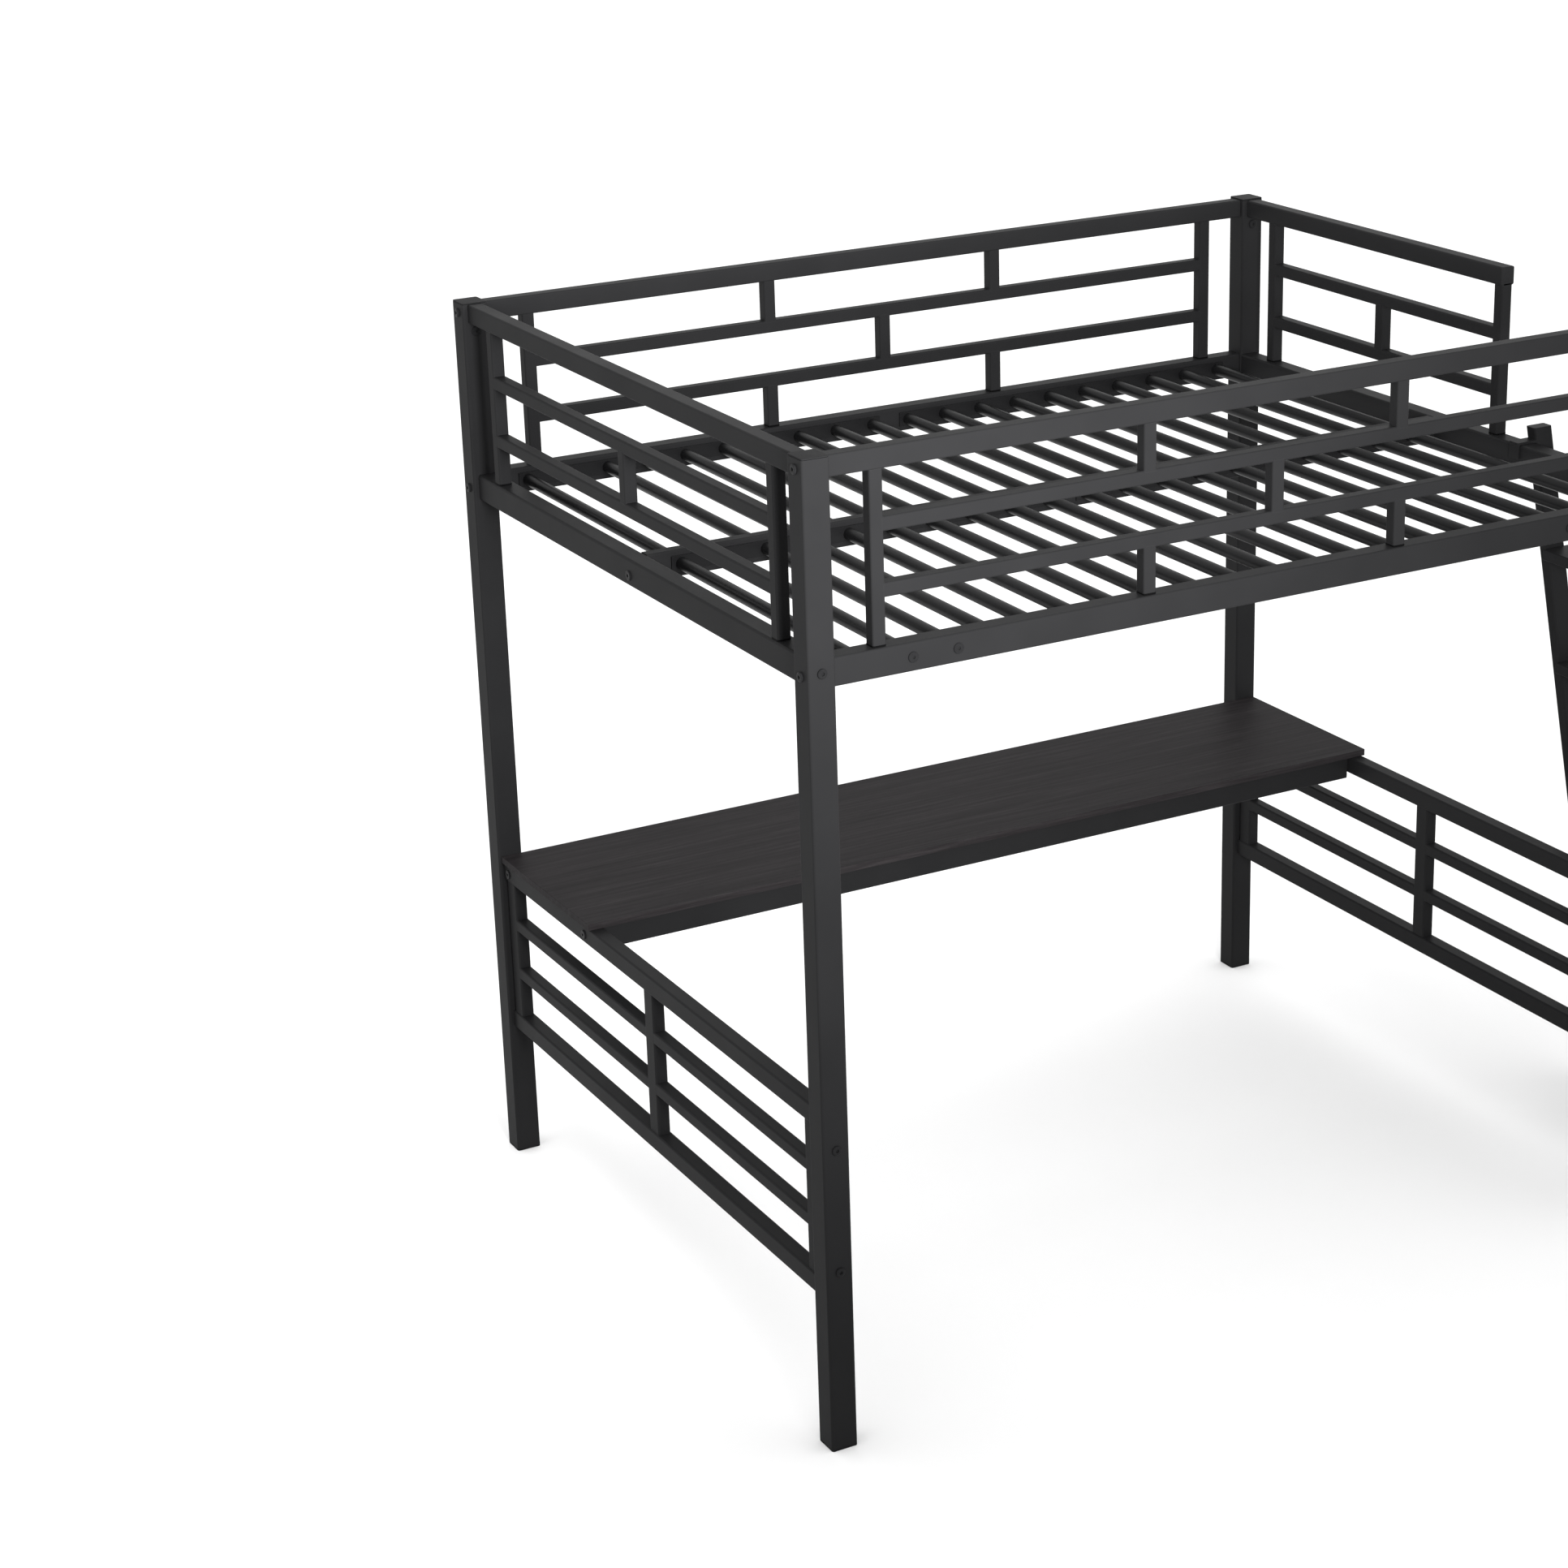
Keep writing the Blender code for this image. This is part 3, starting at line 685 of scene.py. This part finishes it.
def bolt_tree():
    """Sets one bolt on every point, facing the way that the point says, turned at random."""
    inputs = {
        "Bolt": "NodeSocketObject",
        "Seed": "NodeSocketInt",
        "Steel": "NodeSocketMaterial",
    }
    nodes = Nodes("bolts in place", inputs)
    shape = nodes.node(
        "GeometryNodeObjectInfo", {}, {"Object": nodes.given("Bolt"), "As Instance": True}
    )
    facing = nodes.node(
        "GeometryNodeInputNamedAttribute", {"data_type": "FLOAT_VECTOR"}, {"Name": "facing"}
    )
    upright = nodes.node(
        "FunctionNodeAlignRotationToVector", {"axis": "Z"}, {"Vector": facing.outputs["Attribute"]}
    )
    spin = nodes.node(
        "FunctionNodeRandomValue",
        {"data_type": "FLOAT"},
        {"Min": 0.0, "Max": math.pi, "Seed": nodes.given("Seed")},
    )
    spin_value = next(o for o in spin.outputs if o.enabled)
    turn = nodes.node(
        "FunctionNodeAxisAngleToRotation", {}, {"Axis": (0.0, 0.0, 1.0), "Angle": spin_value}
    )
    turned = nodes.node(
        "FunctionNodeRotateRotation",
        {"rotation_space": "LOCAL"},
        {"Rotation": upright.outputs[0], "Rotate By": turn.outputs[0]},
    )
    bolts = nodes.node(
        "GeometryNodeInstanceOnPoints",
        {},
        {
            "Points": nodes.given("Geometry"),
            "Instance": shape.outputs["Geometry"],
            "Rotation": turned.outputs[0],
        },
    )
    nodes.finish(bolts.outputs[0], nodes.given("Steel"))
    return nodes


def points_mesh(name, places):
    """A mesh of loose points, each with the way that it faces."""
    mesh = bpy.data.meshes.new(name)
    mesh.from_pydata([place for place, _ in places], [], [])
    facing = mesh.attributes.new("facing", "FLOAT_VECTOR", "POINT")
    facing.data.foreach_set("vector", np.array([way for _, way in places], float).ravel())
    return mesh


def frame_bolts(nodes):
    """The bolts through the posts, in place of their plain solids."""
    places = []
    names = []
    for end in ENDS:
        for side in SIDES:
            out_y = -1.0 if side == "front" else 1.0
            out_x = -1.0 if end == "left" else 1.0
            for use in ("end_rail", "panel_upper", "panel_lower", "side_rail", "guard"):
                name = f"bolt_{use}_{side}_{end}"
                low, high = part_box(name)
                middle = (low + high) / 2
                if use in ("side_rail", "guard"):
                    face = low.x + HEAD_TALL if out_x < 0 else high.x - HEAD_TALL
                    places.append(((face, middle.y, middle.z), (out_x, 0.0, 0.0)))
                else:
                    face = low.y + HEAD_TALL if out_y < 0 else high.y - HEAD_TALL
                    places.append(((middle.x, face, middle.z), (0.0, out_y, 0.0)))
                names.append(name)
    shape = turned_bolt("frame bolt", *FRAME_BOLT)
    values = {"Bolt": shape, "Seed": 3, "Steel": BOLT_BLACK}
    grown = nodes.grow(points_mesh("frame bolts", places), values)
    made = place_piece("frame_bolts_finish", grown, BOLT_BLACK, names)
    bpy.data.objects.remove(shape)


def small_screws(nodes):
    """The smaller screws that hold the slats, the end rails and the desk beams."""
    places = []
    beam_low, beam_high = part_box("centre_beam")
    rail_height = (beam_low.z + beam_high.z) / 2
    for side in SIDES:
        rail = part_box(f"bed_rail_{side}")
        way = -1.0 if side == "front" else 1.0
        face = rail[0].y if side == "front" else rail[1].y
        for end in ENDS:
            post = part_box(f"post_{side}_{end}")
            for inward in RAIL_SCREWS:
                x = post[0].x + inward if end == "left" else post[1].x - inward
                places.append(((x, face, rail_height), (0.0, way, 0.0)))
    for end in ENDS:
        way = -1.0 if end == "left" else 1.0
        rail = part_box(f"bed_rail_{end}")
        face = rail[0].x if end == "left" else rail[1].x
        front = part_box(f"post_front_{end}")[0].y
        height = rail_height - END_RAIL_SCREW_DROP
        places.append(((face, front + END_RAIL_SCREW, height), (way, 0.0, 0.0)))
        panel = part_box(f"end_panel_{end}")
        face = panel[0].x if end == "left" else panel[1].x
        for side in SIDES:
            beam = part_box(f"desk_beam_{side}")
            middle = (beam[0] + beam[1]) / 2
            places.append(((face, middle.y, panel[1].z - DESK_SCREW_DROP), (way, 0.0, 0.0)))
            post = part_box(f"post_{side}_{end}")
            inner = post[1].y if side == "front" else post[0].y
            toward = 1.0 if side == "front" else -1.0
            x = (post[0].x + post[1].x) / 2
            places.append(((x, inner, GUARD_SCREW_HEIGHT), (0.0, toward, 0.0)))
    shape = turned_bolt("small screw", *SMALL_SCREW)
    values = {"Bolt": shape, "Seed": 8, "Steel": BOLT_BLACK}
    grown = nodes.grow(points_mesh("small screws", places), values)
    made = place_piece("small_screws_finish", grown, BOLT_BLACK, [])
    bpy.data.objects.remove(shape)


posts_and_rails()
for side_name in SIDES:
    side_guard(side_name)
    ladder_stile(side_name)
for end_name in ENDS:
    end_guard(end_name)
    end_panel(end_name)
slat_racks()
bolt_nodes = bolt_tree()
frame_bolts(bolt_nodes)
small_screws(bolt_nodes)


# Floor, light and camera


def studio_floor():
    size = 60.0
    mesh = bpy.data.meshes.new("floor")
    corners = [(-size, -size, 0.0), (size, -size, 0.0), (size, size, 0.0), (-size, size, 0.0)]
    mesh.from_pydata(corners, [], [(0, 1, 2, 3)])
    floor = bpy.data.objects.new("floor", mesh)
    bpy.context.scene.collection.objects.link(floor)
    made, wire, shader = new_finish("pale studio floor")
    cloud = surface_noise(wire, 0.6, detail=2.0)
    base = wire.blend(cloud, (0.88, 0.88, 0.88, 1.0), (0.90, 0.90, 0.90, 1.0))
    set_shader(wire, shader, base_color=base, roughness=(cloud - 0.5) * 0.1 + 0.75)
    shader.inputs["Specular IOR Level"].default_value = 0.2
    mesh.materials.append(made)


def soft_light(name, place, target, size, power, spread):
    data = bpy.data.lights.new(name, "AREA")
    data.shape = "RECTANGLE"
    data.spread = math.radians(spread)
    data.size, data.size_y = size
    data.energy = power
    lamp = bpy.data.objects.new(name, data)
    bpy.context.scene.collection.objects.link(lamp)
    lamp.visible_glossy = False
    lamp.location = place
    lamp.rotation_euler = (Vector(target) - Vector(place)).to_track_quat("-Z", "Y").to_euler()


def studio_light():
    world = bpy.data.worlds.new("studio")
    world.use_nodes = True
    background = world.node_tree.nodes["Background"]
    background.inputs["Color"].default_value = (1.0, 1.0, 1.0, 1.0)
    background.inputs["Strength"].default_value = 1.36
    bpy.context.scene.world = world
    soft_light("front panel", (-1.4, -4.2, 2.45), (-1.0, -0.8, 2.45), (1.6, 0.8), 135.0, 68.0)


def camera():
    data = bpy.data.cameras.new("camera")
    data.lens = 77.86
    data.sensor_width = 36.0
    data.shift_x = -0.06
    data.shift_y = 0.0023
    data.clip_end = 200.0
    made = bpy.data.objects.new("camera", data)
    bpy.context.scene.collection.objects.link(made)
    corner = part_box("post_front_left")[0]
    corner.z = 0.0
    made.location = corner + Vector((-2.72, -5.252, 3.617))
    yaw = math.radians(28.578)
    pitch = math.radians(20.377)
    roll = math.radians(-1.409)
    aim = Euler((math.pi / 2 - pitch, 0.0, -yaw)).to_matrix()
    made.rotation_euler = (aim @ Matrix.Rotation(roll, 3, "Z")).to_euler()
    bpy.context.scene.camera = made


studio_floor()
studio_light()
camera()
bpy.context.scene.view_settings.view_transform = "Standard"
